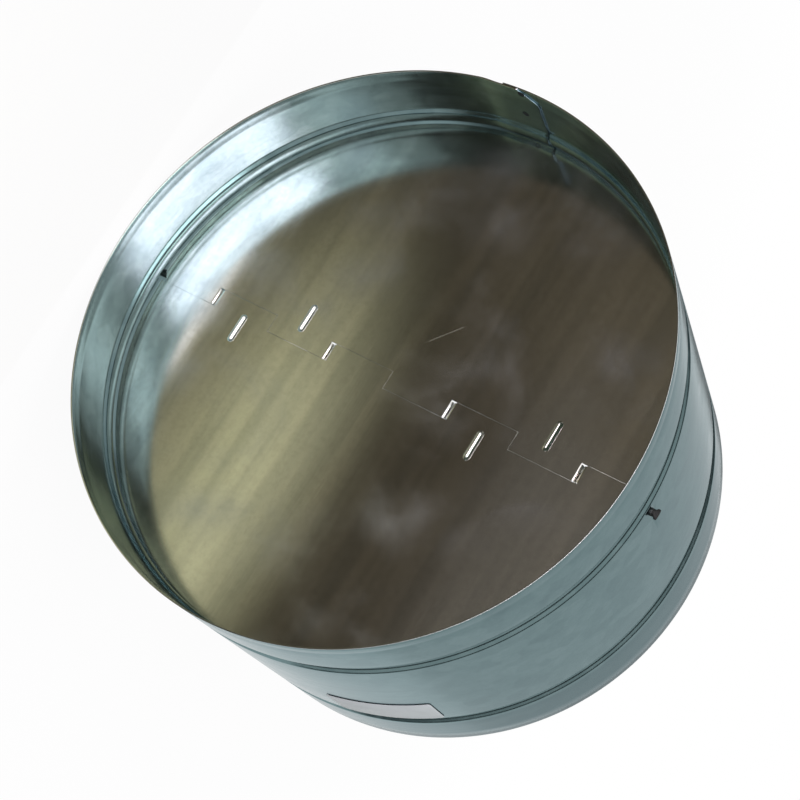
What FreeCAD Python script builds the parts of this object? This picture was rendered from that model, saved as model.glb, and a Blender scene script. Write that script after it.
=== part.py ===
"""Spring-loaded non-return valve for a round ventilation duct.

A rolled sheet casing holds an upright spindle. Two half-round blades hang on the spindle by ears
bent from their interlocking tabs, and two torsion springs push them shut against the front bead.

Millimetres. The duct runs along Y and air enters at Y = 0, where the rim of the inlet spigot
stands. Z is up, along the spindle. X is to the right, seen from the inlet.
"""
import FreeCAD, Part
import math
import os

import Sketcher

V = FreeCAD.Vector

# Driving dimensions

SIZES = (
    # the rolled casing
    ("casing_diameter", 314.0),
    ("casing_length", 196.0),
    ("sheet_thickness", 0.7),
    ("bead_width", 15.5),
    ("bead_depth", 2.2),
    ("front_bead_place", 41.0),
    ("rear_bead_place", 152.0),
    ("lap_width", 20.5),
    ("lap_corner_length", 8.5),
    ("lap_corner_width", 12.0),
    # the spindle
    ("spindle_diameter", 4.0),
    ("spindle_overhang", 3.5),
    ("running_clearance", 0.1),
    ("staked_head_width", 5.8),
    ("staked_head_thickness", 2.4),
    ("staked_head_length", 1.6),
    # the blades
    ("blade_thickness", 0.8),
    ("blade_clearance", 0.4),
    ("seat_clearance", 0.3),
    ("tab_pitch", 39.0),
    ("tab_reach", 5.3),
    ("seam_gap", 0.4),
    ("ear_gap", 0.6),
    ("ear_width", 9.4),
    ("ear_bend_radius", 0.6),
    ("spindle_drop", 5.6),
    ("corner_cut", 4.0),
    # the embossed channels that hold the legs of the springs
    ("channel_start", 2.5),
    ("channel_length", 17.2),
    ("channel_width", 3.4),
    ("channel_height", 2.0),
    ("channel_wall", 0.6),
    # the springs
    ("wire_diameter", 1.2),
    ("coil_mean_diameter", 6.6),
    ("coil_pitch", 1.42),
    ("coil_turns", 24.0),
    ("leg_reach", 17.6),
    ("leg_end_depth", 0.4),
    # the sticker on the outside
    ("label_width", 58.5),
    ("label_height", 31.0),
    ("label_place", 113.0),
    ("label_angle", 23.5),
    ("label_thickness", 0.2),
    ("glue_line", 0.3),
)

doc = FreeCAD.newDocument("non_return_valve")
sheet = doc.addObject("Spreadsheet::Sheet", "sizes")
for row, (alias, number) in enumerate(SIZES, start=1):
    sheet.set(f"A{row}", alias)
    sheet.set(f"B{row}", str(number))
    sheet.setAlias(f"B{row}", alias)
doc.recompute()


class Formula:
    """A number worked out from the sheet, with the expression that binds a property to it."""

    def __init__(self, value, text):
        self.value = value
        self.text = text

    @staticmethod
    def of(other):
        return other if isinstance(other, Formula) else Formula(float(other), f"{other}")

    def __add__(self, other):
        other = Formula.of(other)
        return Formula(self.value + other.value, f"({self.text} + {other.text})")

    def __sub__(self, other):
        other = Formula.of(other)
        return Formula(self.value - other.value, f"({self.text} - {other.text})")

    def __mul__(self, other):
        other = Formula.of(other)
        return Formula(self.value * other.value, f"({self.text} * {other.text})")

    def __truediv__(self, other):
        other = Formula.of(other)
        return Formula(self.value / other.value, f"({self.text} / {other.text})")

    def __neg__(self):
        return Formula(-self.value, f"(0 - {self.text})")

    def root(self):
        return Formula(math.sqrt(self.value), f"sqrt({self.text})")


def size(alias):
    return Formula(float(sheet.get(alias)), f"sizes.{alias}")


# Sizes worked out from the driving ones

casing_radius = size("casing_diameter") / 2
sheet_thickness = size("sheet_thickness")
bead_depth = size("bead_depth")
half_bead = size("bead_width") / 2
# radius of the groove that the roller leaves in the outside, and the height of its centre
groove_radius = (half_bead * half_bead + bead_depth * bead_depth) / (bead_depth * 2)
groove_centre = casing_radius - bead_depth + groove_radius

# the blades are a loose fit inside the lap of the seam, where the wall is two sheets thick
blade_radius = casing_radius - sheet_thickness * 2 - size("blade_clearance")
blade_thickness = size("blade_thickness")
lap_bead_radius = groove_radius + sheet_thickness * 2
seat_height = groove_centre - blade_radius
seat_depth = (lap_bead_radius * lap_bead_radius - seat_height * seat_height).root()
# the upstream face of the closed blades
blade_face = size("front_bead_place") + seat_depth + size("seat_clearance")
blade_back = blade_face + blade_thickness
spindle_place = blade_face + blade_thickness / 2 + size("spindle_drop")
spindle_radius = size("spindle_diameter") / 2
hole_radius = spindle_radius + size("running_clearance")

tab_pitch = size("tab_pitch")
tab_edge = size("tab_reach") - size("seam_gap") / 2
notch_edge = size("tab_reach") + size("seam_gap") / 2
bend_outer = size("ear_bend_radius") + blade_thickness
half_ear = size("ear_width") / 2
# the springs sit midway between the ears
spring_place = tab_pitch * 2
coil_radius = size("coil_mean_diameter") / 2
half_coil = size("coil_pitch") * size("coil_turns") / 2


# Sketch helpers

def new_body(label):
    body = doc.addObject("PartDesign::Body", label)
    body.Label = label
    return body


def new_sketch(body, name, plane_role, offset=None):
    """A sketch on one of the body's own origin planes, moved along its normal by offset."""
    sketch = body.newObject("Sketcher::SketchObject", name)
    plane = next(f for f in body.Origin.OriginFeatures if f.Role == plane_role)
    sketch.AttachmentSupport = [(plane, "")]
    sketch.MapMode = "FlatFace"
    if offset is not None:
        sketch.setExpression(".AttachmentOffset.Base.z", offset.text)
    return sketch


def bind(sketch, kind, *places, to):
    """One driving constraint, bound to a formula."""
    number = sketch.addConstraint(Sketcher.Constraint(kind, *places, to.value))
    sketch.setExpression(f"Constraints[{number}]", to.text)


def pin_point(sketch, curve, end, x=None, y=None):
    if x is not None:
        bind(sketch, "DistanceX", -1, 1, curve, end, to=Formula.of(x))
    if y is not None:
        bind(sketch, "DistanceY", -1, 1, curve, end, to=Formula.of(y))


def flat_point(x, y):
    return V(Formula.of(x).value, Formula.of(y).value, 0)


def join(sketch, first, second):
    sketch.addConstraint(Sketcher.Constraint("Coincident", first, 2, second, 1))


def draw_polygon(sketch, points):
    """A closed outline of straight lines, each corner held by its two coordinates."""
    ring = points + points[:1]
    lines = [
        sketch.addGeometry(Part.LineSegment(flat_point(*start), flat_point(*end)), False)
        for start, end in zip(ring, ring[1:])
    ]
    for line, after in zip(lines, lines[1:] + lines[:1]):
        join(sketch, line, after)
    for line, (x, y) in zip(lines, points):
        pin_point(sketch, line, 1, x, y)


def draw_rectangle(sketch, low_x, low_y, high_x, high_y):
    draw_polygon(sketch, [(low_x, low_y), (high_x, low_y), (high_x, high_y), (low_x, high_y)])


def draw_circle(sketch, x, y, radius):
    circle = Part.Circle(flat_point(x, y), V(0, 0, 1), radius.value)
    curve = sketch.addGeometry(circle, False)
    pin_point(sketch, curve, 3, x, y)
    bind(sketch, "Radius", curve, to=radius)


def arc_between(centre, radius, start_angle, end_angle):
    circle = Part.Circle(centre, V(0, 0, 1), radius)
    return Part.ArcOfCircle(circle, math.radians(start_angle), math.radians(end_angle))


def draw_cap(sketch, chord_x, centre_x, centre_y, radius):
    """The cap that an upright chord cuts from a circle, on the side of the smaller X."""
    half_chord = (radius * radius - (centre_x - chord_x) * (centre_x - chord_x)).root().value
    top = V(chord_x.value, centre_y.value + half_chord, 0)
    foot = V(chord_x.value, centre_y.value - half_chord, 0)
    opening = math.degrees(math.atan2(half_chord, centre_x.value - chord_x.value))
    centre = flat_point(centre_x, centre_y)
    arc = sketch.addGeometry(arc_between(centre, radius.value, 180 - opening, 180 + opening), False)
    chord = sketch.addGeometry(Part.LineSegment(foot, top), False)
    join(sketch, arc, chord)
    join(sketch, chord, arc)
    pin_point(sketch, arc, 3, centre_x, centre_y)
    bind(sketch, "Radius", arc, to=radius)
    pin_point(sketch, chord, 1, x=chord_x)
    pin_point(sketch, chord, 2, x=chord_x)


def draw_slot(sketch, start_x, end_x, middle_y, width):
    """A long hole outline with round ends, lying along X."""
    half = width / 2
    low, high = middle_y - half, middle_y + half
    left, right = start_x + half, end_x - half
    bottom = sketch.addGeometry(Part.LineSegment(flat_point(left, low), flat_point(right, low)), False)
    nose = sketch.addGeometry(arc_between(flat_point(right, middle_y), half.value, -90, 90), False)
    top = sketch.addGeometry(Part.LineSegment(flat_point(right, high), flat_point(left, high)), False)
    tail = sketch.addGeometry(arc_between(flat_point(left, middle_y), half.value, 90, 270), False)
    for first, second in ((bottom, nose), (nose, top), (top, tail), (tail, bottom)):
        join(sketch, first, second)
    pin_point(sketch, bottom, 1, left, low)
    pin_point(sketch, bottom, 2, right, low)
    pin_point(sketch, top, 1, right, high)
    pin_point(sketch, top, 2, left, high)
    pin_point(sketch, nose, 3, x=right)
    pin_point(sketch, tail, 3, x=left)


# Feature helpers

def revolve(body, kind, name, sketch, angle=None):
    """Turns a sketch about its own upright axis: all the way round, or angle to both sides."""
    feature = body.newObject(kind, name)
    feature.Profile = sketch
    feature.ReferenceAxis = (sketch, ["V_Axis"])
    feature.Angle = 360
    if angle is not None:
        feature.Midplane = True
        feature.setExpression("Angle", angle.text)
    return feature


def extrude(body, kind, name, sketch, length=None, reverse=False, both_sides=False):
    feature = body.newObject(kind, name)
    feature.Profile = sketch
    feature.Reversed = reverse
    if length is None:
        feature.Type = "ThroughAll"
    else:
        feature.setExpression("Length", length.text)
    feature.Midplane = both_sides
    return feature


def change_of_volume(body, make_feature):
    """Makes a feature and returns how much it adds or takes."""
    doc.recompute()
    before = body.Shape.Volume
    make_feature()
    doc.recompute()
    return body.Shape.Volume - before


# The casing: one rolled sheet with two beads, lapped and spot welded on its left side

def rolled_sheet(label, outer_offset, inner_offset, angle=None):
    """A turned wall between two offsets below the casing's outside, with the two rolled beads."""
    body = new_body(label)
    outer = casing_radius - outer_offset
    inner = casing_radius - inner_offset
    middle = (outer + inner) / 2
    wall_sketch = new_sketch(body, label + "_wall_sketch", "XY_Plane")
    draw_rectangle(wall_sketch, inner, 0, outer, size("casing_length"))
    revolve(body, "PartDesign::Revolution", label + "_wall", wall_sketch, angle)
    for name in ("front", "rear"):
        place = size(name + "_bead_place")
        bulge_sketch = new_sketch(body, f"{label}_{name}_bulge_sketch", "XY_Plane")
        draw_cap(bulge_sketch, middle, groove_centre, place, groove_radius + inner_offset)
        revolve(body, "PartDesign::Revolution", f"{label}_{name}_bulge", bulge_sketch, angle)
        groove_sketch = new_sketch(body, f"{label}_{name}_groove_sketch", "XY_Plane")
        draw_cap(groove_sketch, outer + groove_radius / 4, groove_centre, place,
                 groove_radius + outer_offset)
        cut = change_of_volume(body, lambda: revolve(
            body, "PartDesign::Groove", f"{label}_{name}_groove", groove_sketch, angle))
        if cut >= 0:
            raise ValueError(f"the {name} groove of {label} cuts nothing")
    return body


def build_casing():
    outside = Formula.of(0)
    shell = rolled_sheet("casing_shell", outside, sheet_thickness)
    holes = new_sketch(shell, "spindle_holes_sketch", "XY_Plane")
    draw_circle(holes, 0, spindle_place, hole_radius)
    cut = change_of_volume(shell, lambda: extrude(
        shell, "PartDesign::Pocket", "spindle_holes", holes, both_sides=True))
    if cut >= 0:
        raise ValueError("the spindle holes cut nothing")

    # The inner end of the sheet, a strip inside the seam. It starts in the middle of the wall, so
    # that strip and wall are one solid, and it ends above the seam with both corners cut slantwise.
    lap_angle = size("lap_width") / casing_radius * 180 / math.pi
    lap = rolled_sheet("casing_lap", sheet_thickness / 2, sheet_thickness * 2, lap_angle)
    lap_edge = size("lap_width") / 2
    corner_edge = lap_edge - size("lap_corner_width")
    beyond_edge = lap_edge * 2
    corners = new_sketch(lap, "lap_corners_sketch", "YZ_Plane")
    inward = size("lap_corner_length")
    for rim, cut_length in ((Formula.of(0), inward), (size("casing_length"), -inward)):
        draw_polygon(corners, [
            (rim - cut_length, -beyond_edge), (rim - cut_length, -corner_edge),
            (rim, -corner_edge), (rim + cut_length, -beyond_edge)])
    cut = change_of_volume(lap, lambda: extrude(
        lap, "PartDesign::Pocket", "lap_corners", corners, both_sides=True))
    if cut >= 0:
        raise ValueError("the lap's corners aren't cut")
    # the strip is drawn on the right, and half a turn takes it to the left side
    lap.Placement = FreeCAD.Placement(V(0, 0, 0), FreeCAD.Rotation(V(0, 1, 0), 180))

    casing = doc.addObject("Part::Fuse", "casing")
    casing.Label = "casing"
    casing.Base = shell
    casing.Tool = lap
    return casing


# The spindle: a drawn rod, staked flat outside the casing so that it can't slip out

def build_spindle():
    body = new_body("spindle")
    rod_length = size("casing_diameter") + size("spindle_overhang") * 2
    rod_sketch = new_sketch(body, "rod_sketch", "XY_Plane")
    draw_circle(rod_sketch, 0, spindle_place, spindle_radius)
    extrude(body, "PartDesign::Pad", "rod", rod_sketch, rod_length, both_sides=True)
    half_width = size("staked_head_width") / 2
    half_thickness = size("staked_head_thickness") / 2
    head_end = rod_length / 2
    for name, side in (("lower", -1), ("upper", 1)):
        offset = head_end * side
        head_sketch = new_sketch(body, name + "_head_sketch", "XY_Plane", offset)
        draw_rectangle(head_sketch, -half_width, spindle_place - half_thickness,
                       half_width, spindle_place + half_thickness)
        extrude(body, "PartDesign::Pad", name + "_head", head_sketch, size("staked_head_length"),
                reverse=side > 0)
    return body


# A blade: a half disc of sheet with four tabs, an ear at the end of each, and two pressed channels

def seam_corners():
    """The outline that the left blade leaves free, X and Z of each corner, from its low end up."""
    beyond = blade_radius + notch_edge
    half_seam = size("seam_gap") / 2
    flat_end = size("ear_gap") / 2 + bend_outer
    cut = size("corner_cut")
    # the corner of the end tab is cut off, to clear the wall as the blade opens
    corners = [(beyond, -beyond), (0, -beyond), (0, -blade_radius), (tab_edge, cut - blade_radius)]
    for ear in (-3, -1, 1, 3):
        # each tab ends in an ear, and the next one starts after the other blade's tab
        ear_end = tab_pitch * ear - flat_end
        next_tab = tab_pitch * (ear + 1) + half_seam
        corners += [(tab_edge, ear_end), (-notch_edge, ear_end)]
        if ear < 3:
            corners += [(-notch_edge, next_tab), (tab_edge, next_tab)]
    corners += [(-notch_edge, beyond), (beyond, beyond)]
    return corners


def build_blade(label, turn):
    body = new_body(label)
    disc_sketch = new_sketch(body, label + "_disc_sketch", "XZ_Plane", -blade_back)
    draw_circle(disc_sketch, 0, 0, blade_radius)
    extrude(body, "PartDesign::Pad", label + "_disc", disc_sketch, blade_thickness)
    seam_sketch = new_sketch(body, label + "_seam_sketch", "XZ_Plane", -blade_back)
    draw_polygon(seam_sketch, seam_corners())
    cut = change_of_volume(body, lambda: extrude(
        body, "PartDesign::Pocket", label + "_seam", seam_sketch, both_sides=True))
    if cut >= 0:
        raise ValueError(f"the seam of {label} cuts nothing")

    # the bend and the ear at the lowest tab, then the same at every second step
    ear_face = -tab_pitch * 3 - size("ear_gap") / 2
    bend_sketch = new_sketch(body, label + "_bend_sketch", "YZ_Plane")
    draw_bend(bend_sketch, ear_face)
    bend = extrude(body, "PartDesign::Pad", label + "_bend", bend_sketch, size("ear_width"),
                   both_sides=True)
    ear_sketch = new_sketch(body, label + "_ear_sketch", "XY_Plane", ear_face)
    draw_ear(ear_sketch)
    ear = extrude(body, "PartDesign::Pad", label + "_ear", ear_sketch, blade_thickness,
                  reverse=True)
    add_pattern(body, label + "_ears", [bend, ear], ear_sketch, tab_pitch * 6, 4)

    # the channel is raised on the upstream face and hollow behind
    spring_side = half_coil - tab_pitch * 2
    channel_end = size("channel_start") + size("channel_length")
    wall = size("channel_wall")
    raised = new_sketch(body, label + "_channel_sketch", "XZ_Plane", -(blade_face + blade_thickness / 2))
    draw_slot(raised, -channel_end, -size("channel_start"), spring_side, size("channel_width"))
    emboss = extrude(body, "PartDesign::Pad", label + "_channel", raised,
                     size("channel_height") + blade_thickness / 2)
    hollow = new_sketch(body, label + "_hollow_sketch", "XZ_Plane", -blade_back)
    draw_slot(hollow, wall - channel_end, -size("channel_start") - wall, spring_side,
              size("channel_width") - wall * 2)
    hollow_depth = size("channel_height") + blade_thickness - wall
    cut = change_of_volume(body, lambda: extrude(
        body, "PartDesign::Pocket", label + "_hollow", hollow, hollow_depth, reverse=True))
    if cut >= 0:
        raise ValueError(f"the channel of {label} isn't hollow")
    add_pattern(body, label + "_channels", [emboss, body.Tip], ear_sketch, spring_place * 2, 2)
    body.Placement = FreeCAD.Placement(V(0, 0, 0), FreeCAD.Rotation(V(0, 1, 0), turn))
    return body


def draw_bend(sketch, ear_face):
    """A quarter ring in the plane of Y and Z, from the flat sheet round to the ear."""
    centre_y = blade_face + bend_outer
    centre_z = ear_face - bend_outer
    inner = size("ear_bend_radius")
    centre = flat_point(centre_y, centre_z)
    outer_arc = sketch.addGeometry(arc_between(centre, bend_outer.value, 90, 180), False)
    sheet_end = sketch.addGeometry(Part.LineSegment(
        flat_point(blade_face, centre_z), flat_point(blade_back, centre_z)), False)
    inner_arc = sketch.addGeometry(arc_between(centre, inner.value, 90, 180), False)
    ear_end = sketch.addGeometry(Part.LineSegment(
        flat_point(centre_y, centre_z + inner), flat_point(centre_y, ear_face)), False)
    for (first, first_end), (second, second_end) in (
            ((outer_arc, 2), (sheet_end, 1)), ((sheet_end, 2), (inner_arc, 2)),
            ((inner_arc, 1), (ear_end, 1)), ((ear_end, 2), (outer_arc, 1))):
        sketch.addConstraint(Sketcher.Constraint("Coincident", first, first_end, second, second_end))
    pin_point(sketch, sheet_end, 1, blade_face, centre_z)
    pin_point(sketch, sheet_end, 2, blade_back, centre_z)
    pin_point(sketch, ear_end, 1, centre_y, centre_z + inner)
    pin_point(sketch, ear_end, 2, centre_y, ear_face)
    pin_point(sketch, outer_arc, 3, x=centre_y)
    pin_point(sketch, inner_arc, 3, x=centre_y)


def draw_ear(sketch):
    """The ear seen along the spindle: straight sides, a round end and the hole for the spindle."""
    top = blade_face + bend_outer
    sides = [(half_ear, spindle_place), (half_ear, top), (-half_ear, top), (-half_ear, spindle_place)]
    lines = [
        sketch.addGeometry(Part.LineSegment(flat_point(*start), flat_point(*end)), False)
        for start, end in zip(sides, sides[1:])
    ]
    middle = flat_point(0, spindle_place)
    nose = sketch.addGeometry(arc_between(middle, half_ear.value, 0, 180), False)
    join(sketch, lines[0], lines[1])
    join(sketch, lines[1], lines[2])
    sketch.addConstraint(Sketcher.Constraint("Coincident", lines[2], 2, nose, 2))
    sketch.addConstraint(Sketcher.Constraint("Coincident", nose, 1, lines[0], 1))
    for line, (x, y) in zip(lines, sides):
        pin_point(sketch, line, 1, x, y)
    pin_point(sketch, lines[2], 2, *sides[3])
    pin_point(sketch, nose, 3, y=spindle_place)
    draw_circle(sketch, 0, spindle_place, hole_radius)


def add_pattern(body, name, originals, direction_sketch, length, copies):
    pattern = body.newObject("PartDesign::LinearPattern", name)
    pattern.Originals = originals
    pattern.Direction = (direction_sketch, ["N_Axis"])
    pattern.setExpression("Length", length.text)
    pattern.Occurrences = copies
    body.Tip = pattern
    return pattern


# A spring: a closed coil round the spindle, with a leg at each end that lies in a blade's channel

def build_spring(label, middle_z):
    wire = size("wire_diameter").value / 2
    radius = coil_radius.value
    pitch = size("coil_pitch").value
    height = pitch * size("coil_turns").value
    place = spindle_place.value

    path = Part.Wire(Part.makeLongHelix(pitch, height, radius, 0, True))
    start_tangent = path.Edges[0].tangentAt(path.Edges[0].FirstParameter)
    ring = Part.Wire(Part.makeCircle(wire, V(radius, 0, 0), start_tangent))
    coil = path.makePipeShell([ring], True, True)
    # the coil starts and ends on its upstream side
    coil.Placement = FreeCAD.Placement(
        V(0, place, middle_z - height / 2), FreeCAD.Rotation(V(0, 0, 1), -90))

    # each leg leaves the coil on its upstream side and leans into the channel of its blade
    leg_end = blade_back.value - size("leg_end_depth").value - wire
    spring = coil
    for side, level in ((1, middle_z - height / 2), (-1, middle_z + height / 2)):
        root = V(0, place - radius, level)
        run = V(side * size("leg_reach").value, leg_end - root.y, 0)
        leg = Part.makeCylinder(wire, run.Length, root, run)
        knuckle = Part.makeSphere(wire, root)
        spring = spring.fuse([leg, knuckle])
    feature = doc.addObject("Part::Feature", label)
    feature.Label = label
    feature.Shape = spring.removeSplitter()
    return feature


# The sticker on the outside of the wall, beside the rear bead

def build_label():
    body = new_body("label")
    inner = casing_radius + size("glue_line")
    outer = inner + size("label_thickness")
    sketch = new_sketch(body, "label_sketch", "XY_Plane")
    draw_rectangle(sketch, inner, size("label_place"),
                   outer, size("label_place") + size("label_height"))
    revolve(body, "PartDesign::Revolution", "sticker", sketch,
            size("label_width") / inner * 180 / math.pi)
    # turned upwards from the right side
    body.setExpression(".Placement.Rotation.Angle", size("label_angle").text)
    body.Placement = FreeCAD.Placement(
        V(0, 0, 0), FreeCAD.Rotation(V(0, -1, 0), size("label_angle").value))
    return body


nodes = [
    build_casing(),
    build_spindle(),
    build_blade("blade_left", 0),
    build_blade("blade_right", 180),
    build_spring("spring_lower", -spring_place.value),
    build_spring("spring_upper", spring_place.value),
    build_label(),
]
doc.recompute()

for item in doc.Objects:
    if {"Invalid", "Error"} & set(item.State):
        raise ValueError(f"{item.Label} failed: {item.State}")

os.makedirs("parts", exist_ok=True)
for node in nodes:
    shape = node.Shape
    if shape.isNull() or not shape.isValid():
        raise ValueError(f"{node.Label} has no valid shape")
    shape.exportStep(f"parts/{node.Label}.step")
    box = shape.BoundBox
    print(f"{node.Label}: {len(shape.Solids)} solid, {shape.Volume:.1f} mm3, "
          f"X {box.XMin:.2f} to {box.XMax:.2f}, Y {box.YMin:.2f} to {box.YMax:.2f}, "
          f"Z {box.ZMin:.2f} to {box.ZMax:.2f}")
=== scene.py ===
# %% [markdown]
# # A non-return valve for a round duct, dressed for its photograph
#
# The engineering model of this valve already exists: it says where each part stands, how big it is
# and how the two blades swing. This lesson gives the same parts the look of the real ones. Each
# part is made again as a smooth mesh and then finished as galvanised sheet, mill aluminium,
# drawn steel or paper.

# %% Load the engineering model
import math

import bmesh
import bpy
from mathutils import Matrix, Quaternion, Vector


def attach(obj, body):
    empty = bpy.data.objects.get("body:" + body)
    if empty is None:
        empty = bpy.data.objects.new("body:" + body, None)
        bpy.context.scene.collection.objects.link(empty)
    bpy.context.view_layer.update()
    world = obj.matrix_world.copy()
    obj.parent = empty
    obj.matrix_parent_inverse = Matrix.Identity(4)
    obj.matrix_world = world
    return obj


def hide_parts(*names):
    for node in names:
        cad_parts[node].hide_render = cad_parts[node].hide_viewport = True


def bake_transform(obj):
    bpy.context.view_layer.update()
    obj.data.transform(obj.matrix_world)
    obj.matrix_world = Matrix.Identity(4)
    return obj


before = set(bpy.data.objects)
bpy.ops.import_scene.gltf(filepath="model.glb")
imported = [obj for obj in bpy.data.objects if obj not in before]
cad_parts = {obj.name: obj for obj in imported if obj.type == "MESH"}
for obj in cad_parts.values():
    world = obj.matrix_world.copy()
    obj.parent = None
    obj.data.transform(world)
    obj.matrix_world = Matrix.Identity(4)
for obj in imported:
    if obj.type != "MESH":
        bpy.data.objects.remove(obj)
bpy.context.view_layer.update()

# %% [markdown]
# ## The sizes that the parts share
#
# All shapes are drawn in millimetres, as on a workshop drawing, and are scaled to metres at the
# very end. The duct runs along Y and air enters at Y = 0. Z points up along the spindle, and X
# points right when one looks in from the inlet.

# %% Shared sizes, in millimetres
CASING_RADIUS = 157.0
CASING_LENGTH = 196.0
SHEET = 0.7
BEAD_PLACES = (41.0, 152.0)
BLADE_FACE = 48.71
BLADE_SHEET = 0.8
BLADE_RADIUS = 155.2
SPINDLE_PLACE = 54.71
SPINDLE_RADIUS = 2.0
HOLE_RADIUS = 2.1
TAB_PITCH = 39.0

# %% [markdown]
# ## From a mesh in progress to a finished piece
#
# Sheet metal is easiest to draw as a skin with no thickness. A Solidify modifier then gives the
# skin its gauge, and a Bevel modifier breaks the sharp cut edges, which is what lets them catch
# the light. Both are applied here, so that shading by angle can be set on the real faces. Then
# the piece is scaled to metres and handed to the body that carries it.

# %% A helper that finishes a piece
def flatten_modifiers(piece):
    """Puts what the modifiers make into the piece's own mesh."""
    graph = bpy.context.evaluated_depsgraph_get()
    piece.data = bpy.data.meshes.new_from_object(piece.evaluated_get(graph))
    piece.modifiers.clear()


def finish_piece(name, shape, node, body=None, gauge=0.0, edge=0.0, drill=None, crease=32,
                 flat_along=None):
    mesh = bpy.data.meshes.new(name)
    shape.to_mesh(mesh)
    shape.free()
    piece = bpy.data.objects.new(name, mesh)
    bpy.context.scene.collection.objects.link(piece)
    if gauge:
        wall = piece.modifiers.new("gauge", "SOLIDIFY")
        wall.thickness = gauge
        wall.offset = -1
    if drill:
        hole = piece.modifiers.new("hole", "BOOLEAN")
        hole.operation = "DIFFERENCE"
        hole.solver = "EXACT"
        hole.object = drill
    if edge:
        rounding = piece.modifiers.new("edge", "BEVEL")
        rounding.width = edge
        rounding.segments = 2
        rounding.limit_method = "ANGLE"
        rounding.angle_limit = math.radians(55)
    flatten_modifiers(piece)
    piece.data.name = name
    piece.data.transform(Matrix.Scale(0.001, 4))
    piece.data.shade_smooth()
    piece.data.set_sharp_from_angle(angle=math.radians(crease))
    if flat_along:
        for face in piece.data.polygons:
            face.use_smooth = abs(face.normal.dot(flat_along)) < 0.9998
    if body:
        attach(piece, body)
    if node:
        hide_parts(node)
    low = [round(min(v.co[i] for v in piece.data.vertices) * 1000, 1) for i in range(3)]
    high = [round(max(v.co[i] for v in piece.data.vertices) * 1000, 1) for i in range(3)]
    print(f"{name}: {len(piece.data.polygons)} faces, {low} to {high} mm")
    return piece


# %% [markdown]
# ## A pen for sheet metal
#
# A press brake or a bead roller only knows straight runs and arcs, so the pen used here knows the
# same two. It drags a single vertex along: extruding it draws a straight run, and spinning it
# round a centre draws an arc. The result is a clean line that can itself be spun or extruded.

# %% The pen
class Pen:
    def __init__(self, shape, start):
        self.shape = shape
        self.tip = bmesh.ops.create_vert(shape, co=start)["vert"][0]

    def to(self, point, parts=1):
        start = self.tip.co.copy()
        for part in range(1, parts + 1):
            self.tip = bmesh.ops.extrude_vert_indiv(self.shape, verts=[self.tip])["verts"][0]
            self.tip.co = start.lerp(Vector(point), part / parts)
        return self

    def arc(self, centre, axis, degrees, parts):
        turned = bmesh.ops.spin(self.shape, geom=[self.tip], cent=centre, axis=axis,
                                angle=math.radians(degrees), steps=parts)
        self.tip = turned["geom_last"][0]
        return self


def vertices_of(geometry):
    return [part for part in geometry if isinstance(part, bmesh.types.BMVert)]


def edges_of(geometry):
    return [part for part in geometry if isinstance(part, bmesh.types.BMEdge)]


def face_outwards(shape, sample, outwards):
    """Makes the normals agree, and turns them all if the sampled face looks the wrong way."""
    bmesh.ops.recalc_face_normals(shape, faces=shape.faces[:])
    shape.faces.ensure_lookup_table()
    face = max(shape.faces, key=sample)
    if face.normal.dot(outwards(face)) < 0:
        bmesh.ops.reverse_faces(shape, faces=shape.faces[:])


# %% [markdown]
# ## The casing
#
# The real casing is one strip of galvanised sheet, rolled into a ring. Its two ends overlap by
# about 20 mm and are spot welded, and a pair of rollers has pressed two beads into the wall. A
# plain cylinder would miss the overlap. Here the cross-section is drawn once with the pen, spun
# round the duct's axis, and at the end of the turn it is pressed inwards by one sheet thickness
# so that it slides under its own beginning.

# %% Draw the cross-section of the wall
BEAD_LEAN, BEAD_FLANK = 38.0, 1.54
BEAD_SHOULDER, BEAD_CORNER, BEAD_FLOOR = 2.2, 3.0, 14.0
FLOOR_LEAN = 9.46
ROLLED_LINE, ROLLED_LINE_DEPTH = 8.0, 0.12


def turned(centre_angle, radius):
    """Where the centre of an arc lies, seen from the pen, when the wall leans by an angle."""
    lean = math.radians(centre_angle)
    return Vector((math.cos(lean), -math.sin(lean), 0)) * radius


def roll_bead(pen, middle):
    """Shoulder, flank and corner down to a wide, slightly round floor, and the same way back."""
    half = (BEAD_SHOULDER + BEAD_CORNER) * math.sin(math.radians(BEAD_LEAN))
    half += BEAD_FLANK * math.cos(math.radians(BEAD_LEAN))
    half += (BEAD_FLOOR - BEAD_CORNER) * math.sin(math.radians(FLOOR_LEAN))
    pen.to((-CASING_RADIUS, middle - half, 0), 3)
    corner = BEAD_LEAN - FLOOR_LEAN
    pen.arc(pen.tip.co + turned(0, BEAD_SHOULDER), (0, 0, 1), -BEAD_LEAN, 7)
    pen.to(pen.tip.co + turned(BEAD_LEAN - 90, BEAD_FLANK), 2)
    pen.arc(pen.tip.co - turned(BEAD_LEAN, BEAD_CORNER), (0, 0, 1), corner, 6)
    pen.arc(pen.tip.co - turned(FLOOR_LEAN, BEAD_FLOOR), (0, 0, 1), 2 * FLOOR_LEAN, 6)
    pen.arc(pen.tip.co - turned(-FLOOR_LEAN, BEAD_CORNER), (0, 0, 1), corner, 6)
    pen.to(pen.tip.co - turned(90 - BEAD_LEAN, BEAD_FLANK), 2)
    pen.arc(pen.tip.co + turned(-BEAD_LEAN, BEAD_SHOULDER), (0, 0, 1), -BEAD_LEAN, 7)
    print(f"a bead is {2 * half:.1f} mm wide, the pen is {pen.tip.co.x + CASING_RADIUS:.3f} mm off")


casing_shape = bmesh.new()
wall_line = Pen(casing_shape, (-CASING_RADIUS, 0, 0))
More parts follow.
